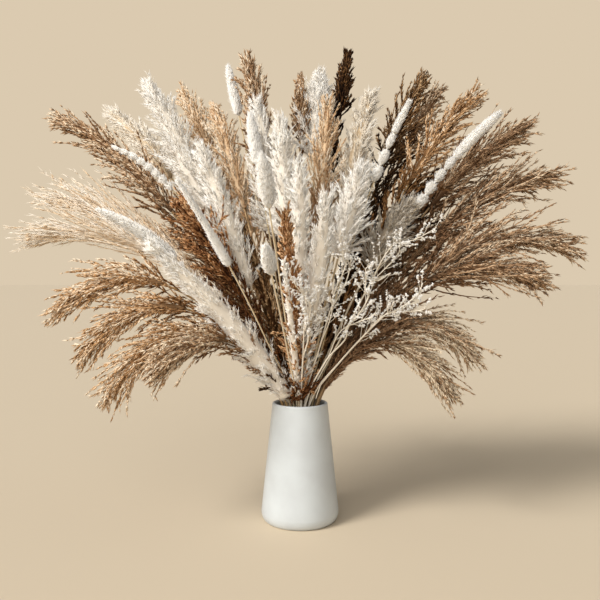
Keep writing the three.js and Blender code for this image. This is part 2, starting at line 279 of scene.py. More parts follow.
@dataclass(frozen=True)
class SatinGlaze:
    """White stoneware with a satin glaze, dipped and fired: soft wide highlights over a skin that
    is very slightly uneven, with a few fine specks."""

    name: str = "satin_glazed_stoneware"
    colour: str = "#c4c9ca"
    pooled: str = "#bbbfc0"
    roughness: float = 0.34
    ior: float = 1.5
    ripple: float = mm(40)
    ripple_height: float = mm(0.3)
    speck: float = mm(0.9)

    def material(self) -> bpy.types.Material:
        """Builds the material.

        Returns:
            The material.
        """
        material, shader = new_material(self.name)
        place = add_node(material, "ShaderNodeTexCoord")
        ripple = add_node(
            material, "ShaderNodeTexNoise", {"Scale": 1 / self.ripple, "Detail": 3.0},
            in_Vector=place.outputs["Object"],
        )
        colour = add_node(material, "ShaderNodeValToRGB", in0=ripple.outputs["Fac"])
        fill_ramp(colour.color_ramp, [(0.3, linear(self.pooled)), (0.62, linear(self.colour))])
        fine = add_node(
            material, "ShaderNodeTexNoise", {"Scale": 1 / self.speck, "Detail": 2.0},
            in_Vector=place.outputs["Object"],
        )
        rough = add_node(
            material, "ShaderNodeMapRange",
            {"To Min": self.roughness - 0.05, "To Max": self.roughness + 0.08},
            in_Value=fine.outputs["Fac"],
        )
        bump = add_node(
            material, "ShaderNodeBump", {"Strength": 0.25, "Distance": self.ripple_height},
            in_Height=ripple.outputs["Fac"],
        )
        dress(
            shader, {"IOR": self.ior}, in_Base_Color=colour.outputs["Color"],
            in_Roughness=rough.outputs["Result"], in_Normal=bump.outputs["Normal"],
        )
        return material


@dataclass(frozen=True)
class PaleFloor:
    """Plain pale matt plaster."""

    name: str = "pale_plaster_floor"
    colour: str = "#cfbfa6"
    roughness: float = 0.9

    def material(self) -> bpy.types.Material:
        """Builds the material.

        Returns:
            The material.
        """
        material, shader = new_material(self.name)
        dress(shader, {"Base Color": linear(self.colour), "Roughness": self.roughness})
        return material


WHITE_PLUME = DriedFibre(
    "bleached_pampas_fibre", "#c8b18a", "#e2d8c8", "#f2eadc", "#f8eee0", "#fdf7ec", "#fffcf5",
    root_shade=0.97, streak=0.03, gloss=0.2, sheen=0.6,
)
BEIGE_PLUME = DriedFibre(
    "natural_pampas_fibre", "#b3986b", "#bfa682", "#dcc7a6", "#e4d2b6", "#f5e9d5", "#fdf6e9",
    root_shade=0.92, streak=0.05, gloss=0.2, sheen=0.4,
)
# Grey-white pampas: its own pale grey, made darker still as painted shade, since the plume stands
# in the shade of the bunch.
GREY_SHADED_PLUME = DriedFibre(
    "grey_shaded_pampas_fibre", "#cbbda6", "#a5937b", "#cdbfaa", "#b29f87", "#cdbda6", "#e8dcc9",
    root_shade=0.75, gloss=0.15, sheen=0.1, glow=0.4,
)
WHITE_SPIKE = DriedFibre(
    "bleached_foxtail_fibre", "#cdb88f", "#dccfb9", "#f1eadf", "#f3eadb", "#fbf5ea", "#fffbf4",
    root_shade=0.92, streak=0.03, gloss=0.2, sheen=0.6, glow=0.25,
)
BUNNY_FUR = DriedFibre(
    "bunny_tail_fur", "#d0bc94", "#d5cab6", "#ebe4d6", "#eee4d3", "#f8f1e4", "#fffaf1",
    root_shade=0.9, streak=0.03, gloss=0.2, sheen=0.6, glow=0.25,
)
TAN_REED = DriedFibre(
    "tan_reed_fibre", "#b89767", "#51351c", "#cda276", "#8b6849", "#d8b590", "#fbe9ce",
    root_shade=0.42,
)
GINGER_REED = DriedFibre(
    "ginger_reed_fibre", "#b99667", "#6a4624", "#d5a571", "#9c734b", "#e2b889", "#feebd0",
    root_shade=0.5,
)
PEACH_REED = DriedFibre(
    "peach_reed_fibre", "#d9bb8f", "#a0744b", "#e8c196", "#d6ad83", "#f1d4ae", "#fff1dc",
    root_shade=0.72,
)
PALE_REED = DriedFibre(
    "straw_reed_fibre", "#e8d5b4", "#c39f76", "#e9cca8", "#e6c8a3", "#f6e0c2", "#fff6e8",
    root_shade=0.88,
)
UMBER_REED = DriedFibre(
    "umber_reed_fibre", "#7b5a36", "#2c1a0b", "#86623a", "#452c16", "#9a744d", "#dab88d",
    root_shade=0.12,
)
RUST_REED = DriedFibre(
    "rust_reed_fibre", "#8f5e30", "#34190a", "#a87142", "#53301a", "#b98355", "#ebc193",
    root_shade=0.2,
)
# Dark brown reeds for the deep middle of the bunch: their own brown, pushed nearly to black as
# painted shade.
BROWN_SHADED_REED = DriedFibre(
    "brown_shaded_reed_fibre", "#4e331c", "#120803", "#472c16", "#1c0f08", "#4e321b", "#9a724a",
    root_shade=0.06,
)
TAUPE_REED = DriedFibre(
    "taupe_reed_fibre", "#ac8f6c", "#50351f", "#b8916c", "#886548", "#cfab86", "#ecd8bb",
    root_shade=0.34,
)
CASPIA_BLOOM = DriedFibre(
    "caspia_flower", "#eee4d2", "#e6dac2", "#f5eee1", "#f5eee2", "#fcf8f1", "#fffefb",
    root_shade=0.9, streak=0.04, gloss=0.25, sheen=0.4,
)


# ---- Fibres ----


@dataclass(frozen=True)
class Fibre:
    """A closed shape one unit long up Z and one unit in radius, which is copied many times.

    Its around holds how far round each vertex is, from -0.5 to 0.5 of a turn.
    """

    points: Array
    triangles: Array
    around: Array

    @classmethod
    def turned(cls, sides: int, rings: Sequence[Pair]) -> "Fibre":
        """Models a fibre that comes to a point at both ends.

        Args:
            sides: how many sides it has.
            rings: the height and the radius of each ring, from low to high.

        Returns:
            The fibre.
        """
        shape = bmesh.new()
        height, radius = rings[0]
        made = bmesh.ops.create_circle(shape, segments=sides, radius=radius)["verts"]
        bmesh.ops.translate(shape, verts=made, vec=(0, 0, height))
        first = list(shape.edges)
        edges = first
        for (low, narrow), (high, wide) in zip(rings, rings[1:]):
            grown = bmesh.ops.extrude_edge_only(shape, edges=edges)["geom"]
            ring = [part for part in grown if isinstance(part, bmesh.types.BMVert)]
            edges = [part for part in grown if isinstance(part, bmesh.types.BMEdge)]
            bmesh.ops.translate(shape, verts=ring, vec=(0, 0, high - low))
            bmesh.ops.scale(shape, verts=ring, vec=(wide / narrow, wide / narrow, 1))
        for end, tip in ((first, 0.0), (edges, 1.0)):
            grown = bmesh.ops.extrude_edge_only(shape, edges=end)["geom"]
            ring = [part for part in grown if isinstance(part, bmesh.types.BMVert)]
            bmesh.ops.pointmerge(shape, verts=ring, merge_co=(0, 0, tip))
        bmesh.ops.triangulate(shape, faces=shape.faces)
        bmesh.ops.recalc_face_normals(shape, faces=shape.faces)
        shape.verts.index_update()
        points = np.array([vert.co[:] for vert in shape.verts])
        triangles = np.array([[vert.index for vert in face.verts] for face in shape.faces])
        shape.free()
        angle = np.arctan2(points[:, 1], points[:, 0]) / (2 * math.pi)
        on_axis = np.hypot(points[:, 0], points[:, 1]) < 1e-4
        return cls(points, triangles, np.where(on_axis, 0.0, angle))


@dataclass(frozen=True)
class Frames:
    """Places on a line, with three square directions at each: along, to one side and in front."""

    place: Array
    along: Array
    side: Array
    front: Array

    def outward(self, angles: Array) -> Array:
        """Unit vectors square to the line, at these angles round it."""
        return turned(self.side, self.front, angles)


def turned(start: Array, side: Array, angles: Array) -> Array:
    """Directions turned from start towards side, which is square to it, by these angles."""
    return start * np.cos(angles)[:, None] + side * np.sin(angles)[:, None]


def room() -> tuple[Array, Array]:
    """Finds the space that fibres end inside.

    Returns:
        Its lowest and highest corners.
    """
    low, high = (np.array(corner[:]) for corner in CAD_BOX)
    proud = PROUD_SHARE * (high - low) + PROUD
    low, high = low - proud, high + proud
    low[2] = CLEAR_OF_TABLE
    return low, high


def shortened(roots: Array, ways: Array, bends: Array) -> tuple[Array, Array]:
    """Shortens what would grow out of the room.

    Args:
        roots: where each fibre starts.
        ways: the straight way from each root to its tip.
        bends: how far each tip is bent away from that.

    Returns:
        The ways and the bends that fit.
    """
    low, high = room()
    way = roots + ways + bends - roots
    over = np.where(way > 0, high - roots, low - roots)
    moves = np.abs(way) > 1e-9
    shares = np.where(moves, over / np.where(moves, way, 1), 1e3).min(1)
    fits = np.clip(shares, SHORTEST_SHARE, 1.0)[:, None]
    return ways * fits, bends * fits


def unit(vectors: Array) -> Array:
    """Vectors brought to a length of 1."""
    return vectors / np.maximum(np.linalg.norm(vectors, axis=-1, keepdims=True), 1e-9)


def eased(knots: Array, values: Array, at: Array) -> Array:
    """Reads a smooth curve through some values.

    Args:
        knots: where each value stands, rising.
        values: one row for each knot.
        at: where to read the curve.

    Returns:
        One row for each place in at.
    """
    slopes = np.gradient(values, knots, axis=0)
    index = np.clip(np.searchsorted(knots, at, side="right") - 1, 0, len(knots) - 2)
    span = (knots[index + 1] - knots[index])[:, None]
    share = (at[:, None] - knots[index][:, None]) / span
    low, high = values[index], values[index + 1]
    return (
        (2 * share**3 - 3 * share**2 + 1) * low
        + (share**3 - 2 * share**2 + share) * span * slopes[index]
        + (3 * share**2 - 2 * share**3) * high
        + (share**3 - share**2) * span * slopes[index + 1]
    )


@dataclass(frozen=True)
class StemLine:
    """A smooth line up a stem, from its cut end to its tip."""

    distance: Array
    frames: Frames
    radius: Array

    @classmethod
    def through(cls, points: Array, radii: Array, steps: int = 140) -> "StemLine":
        """Draws the line through some points.

        Args:
            points: points from the cut end to the tip.
            radii: the stem's radius at each.
            steps: how many places the line keeps.

        Returns:
            The line.
        """
        knots = np.append(0, np.cumsum(np.linalg.norm(np.diff(points, axis=0), axis=1)))
        at = np.linspace(0, knots[-1], steps)
        places = eased(knots, points, at)
        along = unit(np.gradient(places, axis=0))
        side = np.zeros_like(along)
        last = np.array((1.0, 0.0, 0.0))
        for index, way in enumerate(along):
            last = unit(last - way * (last @ way))
            side[index] = last
        distance = np.append(0, np.cumsum(np.linalg.norm(np.diff(places, axis=0), axis=1)))
        frames = Frames(places, along, side, np.cross(along, side))
        return cls(distance, frames, np.interp(at, knots, radii))

    @property
    def length(self) -> float:
        """The line's whole length."""
        return float(self.distance[-1])

    def at(self, distances: Array) -> Frames:
        """Reads the line's frames.

        Args:
            distances: how far each is from the cut end.

        Returns:
            The frames.
        """
        rows = [
            np.stack([np.interp(distances, self.distance, column) for column in part.T], 1)
            for part in (self.frames.place, self.frames.along, self.frames.side, self.frames.front)
        ]
        return Frames(rows[0], *(unit(row) for row in rows[1:]))


class NodeShape:
    """A frame node's merged mesh, read from its foot to its tips."""

    def __init__(self, node: bpy.types.Object) -> None:
        """Merges a copy of the node's mesh and counts the steps from its foot to each vertex.

        Args:
            node: the frame node's object.
        """
        shape = bmesh.new()
        shape.from_mesh(node.data)
        bmesh.ops.remove_doubles(shape, verts=shape.verts, dist=1e-6)
        shape.verts.index_update()
        shape.verts.ensure_lookup_table()
        self.places = np.array([vert.co[:] for vert in shape.verts])
        self.near = [
            [edge.other_vert(vert).index for edge in vert.link_edges] for vert in shape.verts
        ]
        shape.free()
        lowest = np.argsort(self.places[:, 2])[:7]
        middle = self.places[lowest].mean(0)
        self.foot = int(min(lowest, key=lambda index: np.linalg.norm(self.places[index] - middle)))
        self.steps = self.count_steps()

    def count_steps(self) -> Array:
        """Counts the edges between the foot and each vertex.

        Returns:
            The count for each vertex.
        """
        steps = np.full(len(self.places), -1)
        steps[self.foot] = 0
        edge = [self.foot]
        while edge:
            ahead = [other for index in edge for other in self.near[index] if steps[other] < 0]
            for other in ahead:
                steps[other] = steps[edge[0]] + 1
            edge = list(dict.fromkeys(ahead))
        return steps

    def line(self) -> StemLine:
        """Draws the line through the middles of the rings of a stem with no side twigs.

        Returns:
            The line.
        """
        middles, radii = [], []
        for step in range(1, self.steps.max() + 1):
            ring = self.places[self.steps == step]
            middles.append(ring.mean(0))
            radii.append(float(np.linalg.norm(ring - ring.mean(0), axis=1).mean()))
        return StemLine.through(np.array(middles), np.array(radii))

    def way_to(self, tip: int) -> list[int]:
        """Finds a shortest way from the foot to a vertex.

        Args:
            tip: the vertex.

        Returns:
            The vertices on the way.
        """
        way = [tip]
        while self.steps[way[-1]] > 0:
            here = way[-1]
            next_step = self.steps[here] - 1
            lower = [other for other in self.near[here] if self.steps[other] == next_step]
            way.append(min(lower, key=lambda o: np.linalg.norm(self.places[o] - self.places[here])))
        return way[::-1]

    def tips(self) -> list[int]:
        """Finds the ends of the stem and its twigs.

        Returns:
            Their vertices, the one with the most steps first.
        """
        found = [
            index for index, (step, near) in enumerate(zip(self.steps, self.near))
            if step > 3 and all(step > self.steps[other] for other in near)
        ]
        return sorted(found, key=lambda index: -self.steps[index])


class Tress:
    """Collects bent copies of fibres and makes one mesh of them."""

    # How wide a fibre's strip of the map is, so that its faces have some width there.
    STRIP = 0.012

    def __init__(self) -> None:
        """Starts with nothing."""
        self.points: list[Array] = []
        self.triangles: list[Array] = []
        self.maps: list[Array] = []
        self.count = 0

    def keep(self, points: Array, triangles: Array, uv: Array) -> None:
        """Adds a part.

        Args:
            points: its vertices.
            triangles: its triangles, as counts of its own vertices.
            uv: each vertex's place on the map.
        """
        self.points.append(points.reshape(-1, 3).astype(np.float32))
        self.triangles.append((triangles + self.count).reshape(-1, 3).astype(np.int32))
        self.maps.append(uv.reshape(-1, 2).astype(np.float32))
        self.count += self.points[-1].shape[0]

    def scatter(
        self, fibre: Fibre, roots: Array, ways: Array, widths: Array, bends: Array, tones: Array,
    ) -> None:
        """Adds a copy of a fibre for each root.

        Args:
            fibre: the shape to copy.
            roots: where each copy starts.
            ways: the straight way from each root to its tip.
            widths: each copy's radius.
            bends: how far each copy's tip is bent away from that straight way.
            tones: each copy's place across the map.
        """
        if not len(roots):
            return
        ways, bends = shortened(roots, ways, bends)
        along = unit(ways)
        side = unit(np.cross(along, np.array((0.31, 0.52, 0.79))))
        front = np.cross(along, side)
        x, y, z = fibre.points.T
        points = roots[:, None] + ways[:, None] * z[None, :, None]
        points = points + bends[:, None] * (z**2)[None, :, None]
        across = side[:, None] * x[None, :, None] + front[:, None] * y[None, :, None]
        points = points + across * widths[:, None, None]
        uv = np.empty((*points.shape[:2], 2))
        uv[..., 0] = z[None, :]
        uv[..., 1] = tones[:, None] + fibre.around[None, :] * self.STRIP
        starts = np.arange(len(roots)) * len(x)
        self.keep(points, fibre.triangles[None] + starts[:, None, None], uv)

    def sweep(self, line: StemLine, radii: Array, sides: int = 7) -> None:
        """Adds a closed tube along a whole line.

        Args:
            line: the line to follow.
            radii: the tube's radius at each of the line's places.
            sides: how many sides the tube has.
        """
        rings = [(float(height), 1.0) for height in np.linspace(0.002, 0.998, len(radii))]
        tube = Fibre.turned(sides, rings)
        frames = line.at(tube.points[:, 2] * line.length)
        wide = np.interp(tube.points[:, 2], np.linspace(0, 1, len(radii)), radii)
        points = frames.place + frames.side * (tube.points[:, 0] * wide)[:, None]
        points = points + frames.front * (tube.points[:, 1] * wide)[:, None]
        tones = Band.STALK.tones(tube.around + 0.5)
        self.keep(points, tube.triangles, np.stack([tube.points[:, 2], tones], 1))

    def mesh(self, name: str) -> bpy.types.Mesh:
        """Makes the mesh of everything added so far.

        Args:
            name: the mesh's name.

        Returns:
            The mesh.
        """
        points = np.concatenate(self.points)
        triangles = np.concatenate(self.triangles)
        uv = np.concatenate(self.maps)
        mesh = bpy.data.meshes.new(name)
        mesh.vertices.add(len(points))
        mesh.vertices.foreach_set("co", points.ravel())
        mesh.loops.add(triangles.size)
        mesh.loops.foreach_set("vertex_index", triangles.ravel())
        mesh.polygons.add(len(triangles))
        mesh.polygons.foreach_set("loop_start", np.arange(0, triangles.size, 3, dtype=np.int32))
        mesh.polygons.foreach_set("use_smooth", np.ones(len(triangles), dtype=bool))
        layer = mesh.uv_layers.new(name=FIBRE_MAP)
        layer.uv.foreach_set("vector", uv[triangles.ravel()].ravel())
        mesh.update(calc_edges=True)
        return mesh


HAIR = Fibre.turned(3, [(0.34, 1.0)])
TWIG = Fibre.turned(4, [(0.02, 1.0), (0.35, 0.85), (0.7, 0.6)])
BARB = Fibre.turned(3, [(0.08, 0.45), (0.32, 0.95), (0.6, 1.0), (0.85, 0.6)])
HUSK = Fibre.turned(3, [(0.4, 1.0)])


# ---- Stems ----

STALK_RING = 3  # a place on every line that is on the bare stalk
HEAD_SWELL = 1.6
TIP_NARROWING = 0.75
THINNEST = mm(0.3)


def fit(mesh: bpy.types.Mesh, node: str) -> bpy.types.Object:
    """Makes a piece of a mesh, and fits it in the frame in a node's place.

    Args:
        mesh: the mesh, which the piece is named after.
        node: the frame node that the piece replaces.

    Returns:
        The piece.
    """
    piece = bpy.data.objects.new(mesh.name, mesh)
    bpy.context.scene.collection.objects.link(piece)
    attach(piece, BODY)
    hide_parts(node)
    log.info("%s: %d faces", piece.name, len(mesh.polygons))
    return piece


@dataclass
class Stem:
    """One stem of the bunch, which replaces its frame node."""

    node: str
    finish: DriedFibre
    tone: float = 0.0
    rng: np.random.Generator = field(init=False)
    tress: Tress = field(init=False)

    def __post_init__(self) -> None:
        """Seeds the stem by its name, so that it grows alike in every run."""
        self.rng = np.random.default_rng(list(self.node.encode()))
        self.tress = Tress()

    def grow(self) -> None:
        """Adds the stem's fibres."""
        raise NotImplementedError

    def spread(self, low: float, high: float, count: int) -> Array:
        """Random numbers between two limits, which can each be one number or one for each."""
        return self.rng.uniform(low, high, count)

    def quiver(self, scale: float, lengths: Array) -> Array:
        """Random small bends, as shares of these lengths."""
        return self.rng.normal(scale=scale, size=(len(lengths), 3)) * lengths[:, None]

    def around(self, along: Array, lean: Array) -> Array:
        """Turns each direction by an angle, to a random side.

        Args:
            along: unit directions.
            lean: the angle of each, in radians.

        Returns:
            Unit directions.
        """
        other = self.rng.normal(size=along.shape)
        square = unit(other - along * (other * along).sum(1, keepdims=True))
        return turned(along, square, lean)

    def build(self) -> bpy.types.Object:
        """Grows the stem and fits it in the frame in its node's place.

        Returns:
            The piece.
        """
        self.grow()
        mesh = self.tress.mesh(f"{self.node}_dried")
        mesh.materials.append(self.finish.material())
        return fit(mesh, self.node)


@dataclass
class GrassStem(Stem):
    """A stalk with one head, whose side branches carry hairs and seeds."""

    branches: int = 150
    branch_length: Pair = (mm(42), mm(20))
    branch_lean: Pair = (0.8, 0.3)
    branch_width: float = mm(0.75)
    curl: float = 0.2
    droop: float = 0.06
    stray: float = 0.08
    below: float = 0.04
    # Painted shade: branches below the head, inside the bunch, keep this share of their tone and go
    # darker, down into the seeds' band.
    below_tone: float = 0.5
    from_rim: bool = False
    hairs: int = 38
    hair_length: float = mm(12)
    hair_width: float = mm(0.34)
    hair_lean: Pair = (0.2, 0.85)
    hair_wave: float = 0.14
    mottle: float = 0.22
    seeds: int = 0
    seed_length: float = mm(6)
    seed_width: float = mm(0.65)
    core: float = mm(7)
    # The middle's tone: in plumes and panicles it is darker than the hairs, as painted shade inside
    # the head.
    core_tone: float = 0.75
    # Shares up the head, below 0 for the stalk, and how long branches are there.
    taper: tuple[tuple[float, ...], ...] = ((-0.8, 0, 0.3, 0.7, 1), (0.6, 0.9, 1.0, 0.6, 0.0))
    line: StemLine = field(init=False)

    def head_start(self) -> float:
        """How far up the stem its head begins, which is where the frame's stem thickens."""
        thick = self.line.radius > HEAD_SWELL * self.line.radius[STALK_RING]
        return float(self.line.distance[int(np.argmax(thick))])

    def grow(self) -> None:
        """Adds the stalk and the head."""
        self.line = NodeShape(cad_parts[self.node]).line()
        stalk = float(self.line.radius[STALK_RING])
        start = CLEAR_OF_RIM if self.from_rim else self.head_start()
        shares = np.linspace(0, 1, 40)
        narrowing = np.clip((shares * self.line.length - start) / (self.line.length - start), 0, 1)
        self.tress.sweep(self.line, stalk * (1 - TIP_NARROWING * narrowing))
        self.grow_head(start)

    def grow_head(self, start: float) -> None:
        """Grows the side branches and what they carry.

        Args:
            start: how far up the stem the head begins.
        """
        head = self.line.length - start
        longest, shortest = self.branch_length
        high = self.line.length - 0.75 * shortest
        count = self.branches
        shares = np.linspace(0, 1, count) + self.spread(-0.01, 0.01, count)
        # The lowest branches are spread all down the stalk, and the rest over the head.
        distances = np.interp(shares, (0, self.below, 1), (CLEAR_OF_RIM, start - 0.05 * head, high))
        shares = (distances - start) / (high - start)
        frames = self.line.at(distances)
        turns = np.arange(count) * GOLDEN_ANGLE + self.spread(-0.35, 0.35, count)
        outward = frames.outward(turns)
        lean = np.interp(shares, (-1, 0, 1), (0.4 * self.branch_lean[0], *self.branch_lean))
        lean = lean * self.spread(0.6, 1.3, count)
        lengths = shortest + (longest - shortest) * np.interp(shares, *self.taper)
        lengths = lengths * self.spread(0.7, 1.15, count)
        ways = turned(frames.along, outward, lean)
        ways = ways * lengths[:, None]
        bends = -outward * (self.curl * np.sin(lean) * lengths)[:, None]
        bends = bends - UP * (self.droop * lengths * self.spread(0.4, 1.6, count))[:, None]
        bends = bends + self.quiver(self.stray, lengths)
        ways, bends = shortened(frames.place, ways, bends)
        tones = self.spread(0.0, 0.75, count)
        # Painted shade: branches below the head are darkened by below_tone, into the seeds' band.
        tones = np.where(shares < 0, self.below_tone * (tones + 1) - 1, tones) + self.tone
        widths = self.branch_width * self.spread(0.8, 1.25, count)
        self.tress.scatter(BARB, frames.place, ways, widths, bends, Band.strand(tones))
        self.clothe(frames.place, ways, bends, tones)
        along = np.linspace(0.02, 0.98, 60)
        full = np.sin(math.pi * along**0.7) ** 0.6
        if self.from_rim:
            full = np.where(along < 0.5, np.maximum(full, 0.8), full)
        self.add_core(start, head, self.core * full, self.core_tone)

    def clothe(self, roots: Array, ways: Array, bends: Array, tones: Array) -> None:
        """Covers branches with hairs and seeds.

        Args:
            roots: where each branch starts.
            ways: each branch's straight way to its tip.
            bends: how far each branch's tip is bent away.
            tones: each branch's tone.
        """
        for each, put in ((self.hairs, self.put_hairs), (self.seeds, self.put_seeds)):
            if not each:
                continue
            branch = np.repeat(np.arange(len(roots)), each)
            share = self.spread(0.06, 0.97, len(branch)) ** 0.85
            place = roots[branch] + ways[branch] * share[:, None]
            place = place + bends[branch] * (share**2)[:, None]
            along = unit(ways[branch] + 2 * bends[branch] * share[:, None])
            put(place, along, share, tones[branch])

    def put_hairs(self, roots: Array, along: Array, share: Array, tones: Array) -> None:
        """Adds silky hairs.

        Args:
            roots: where each leaves its branch.
            along: which way the branch runs there.
            share: how far along the branch that is.
            tones: the branch's tone.
        """
        count = len(roots)
        ways = self.around(along, self.spread(*self.hair_lean, count))
        lengths = self.hair_length * self.spread(0.55, 1.25, count) * (1 - 0.35 * share)
        bends = (along - ways) * (0.45 * lengths)[:, None]
        bends = bends - UP * (0.06 * lengths)[:, None]
        bends = bends + self.quiver(self.hair_wave, lengths)
        widths = self.hair_width * self.spread(0.7, 1.2, count)
        # Painted shade: hairs are darker near the stalk, where the head shades itself, and lighter
        # towards the branch tips; mottle is random tone.
        tones = tones + 0.25 * share + self.spread(-self.mottle, self.mottle, count)
        self.tress.scatter(HAIR, roots, ways * lengths[:, None], widths, bends, Band.strand(tones))

    def put_seeds(self, roots: Array, along: Array, share: Array, tones: Array) -> None:
        """Adds husked seeds, from what put_hairs takes."""
        count = len(roots)
        ways = self.around(along, self.spread(0.12, 0.45, count))
        lengths = self.seed_length * self.spread(0.7, 1.2, count)
        widths = self.seed_width * self.spread(0.8, 1.2, count)
        tone = Band.SEED.tones(self.spread(0, 1, count) * 0.8 + 0.3 * tones)
        bends = (along - ways) * (0.2 * lengths)[:, None]
        self.tress.scatter(HUSK, roots, ways * lengths[:, None], widths, bends, tone)

    def add_core(self, start: float, head: float, radii: Array, tone: float) -> None:
        """Adds the close-packed middle of the head, which in plumes and panicles is darker than the
        hairs as painted shade inside the head.

        Args:
            start: how far up the stem the head begins.
            head: how long the head is.
            radii: the middle's radius along the head.
            tone: its tone, as a share of the hairs', set low for painted shade.
        """
        at = start + np.linspace(0.0, 0.95, len(radii)) * head
        line = StemLine.through(self.line.at(at).place, radii, steps=len(radii))
        middle = Tress()
        middle.sweep(line, np.maximum(line.radius, THINNEST), sides=10)
        uv = middle.maps[0]
        uv[:, 1] = Band.strand(tone + self.tone + 0.05 * np.sin(40 * uv[:, 0]))
        self.tress.keep(middle.points[0], middle.triangles[0], uv)


@dataclass
class PampasStem(GrassStem):
    """A feathery plume: springy barbs thick with silk, on a close middle."""

    branches: int = 150
    branch_length: Pair = (mm(46), mm(24))
    branch_lean: Pair = (0.85, 0.3)
    below: float = 0.0
    hairs: int = 36
    hair_length: float = mm(13)
    hair_width: float = mm(0.5)
    hair_lean: Pair = (0.12, 0.62)
    core: float = mm(9.5)
    core_tone: float = -0.65


@dataclass
class ReedStem(GrassStem):
    """A reed panicle: long loose strands, dark husks among silk, drooping at the tip."""

    branches: int = 150
    branch_length: Pair = (mm(70), mm(32))
    branch_lean: Pair = (0.7, 0.24)
    branch_width: float = mm(0.8)
    curl: float = 0.36
    droop: float = 0.12
    stray: float = 0.12
    below: float = 0.34
    below_tone: float = 0.4
    hairs: int = 21
    hair_length: float = mm(11.5)
    hair_width: float = mm(1.05)
    hair_lean: Pair = (0.1, 0.75)
    mottle: float = 0.4
    seeds: int = 9
    seed_length: float = mm(7)
    seed_width: float = mm(0.8)
    core: float = mm(5)
    core_tone: float = 0.0


@dataclass
class SpikeStem(GrassStem):
    """A slender spike: short dense bristles set straight on the stalk."""

    bristles: int = 3600
    bristle_length: float = mm(8)
    bristle_lean: Pair = (0.35, 0.9)
    packed: float = 0.74
    lumps: int = 0
    lumpy_to: float = 1.0
    cleft: float = 0.5
    bristle_wave: float = 0.08
    long_bristles: float = 0.15
    outline: tuple[Pair, ...] = ()
    hair_width: float = mm(0.3)

    def fullness(self, shares: Array) -> Array:
        """Finds how full the spike is, from 0 between lumps to 1.

        Args:
            shares: where, as shares of its length.

        Returns:
            The fullness at each.
        """
        if not self.lumps:
            return np.ones_like(shares)
        wave = np.abs(np.sin(math.pi * shares / self.lumpy_to * self.lumps))
        return np.where(shares < self.lumpy_to, wave**self.cleft, 1.0)

    def thickness(self, start: float, shares: Array) -> Array:
        """Reads the spike's radius from its outline, or else from the frame's stem.

        Args:
            start: how far up the stem the spike begins.
            shares: where, as shares of the spike's length.

        Returns:
            The radius at each.
        """
        if self.outline:
            return np.interp(shares, *zip(*self.outline))
        distance = start + shares * (self.line.length - start)
        return np.interp(distance, self.line.distance, self.line.radius)

    def grow_head(self, start: float) -> None:
        """Grows the bristles, in lumps if the spike has them.

        Args:
            start: how far up the stem the spike begins.
        """
        head = self.line.length - start
        shares = self.spread(0, 1, self.bristles)
        shares = shares[self.fullness(shares) > 0.45]
        count = len(shares)
        full = self.fullness(shares)
        distance = start + shares * head * 0.985
        frames = self.line.at(distance)
        outward = frames.outward(self.spread(0, 2 * math.pi, count))
        radius = self.thickness(start, shares) * full
        lean = self.spread(*self.bristle_lean, count) * (1 - 0.45 * shares)
        lengths = self.bristle_length * self.spread(0.6, 1.15, count) * (1 - 0.3 * shares)
        lengths = lengths * (0.45 + 0.55 * full)
        lengths = lengths * np.where(self.spread(0, 1, count) < self.long_bristles, 1.5, 1.0)
        roots = frames.place + outward * (radius * self.spread(0.5, self.packed, count))[:, None]
        ways = turned(frames.along, outward, lean)
        bends = self.quiver(self.bristle_wave, lengths)
        widths = self.hair_width * self.spread(0.8, 1.3, count)
        tones = Band.HAIR.tones(self.spread(0.4, 1.0, count) + self.tone)
        self.tress.scatter(HAIR, roots, ways * lengths[:, None], widths, bends, tones)
        along = np.linspace(0.0, 0.95, 110)
        radii = self.thickness(start, along) * self.fullness(along)
        self.add_core(start, head, self.packed * radii, 0.75)


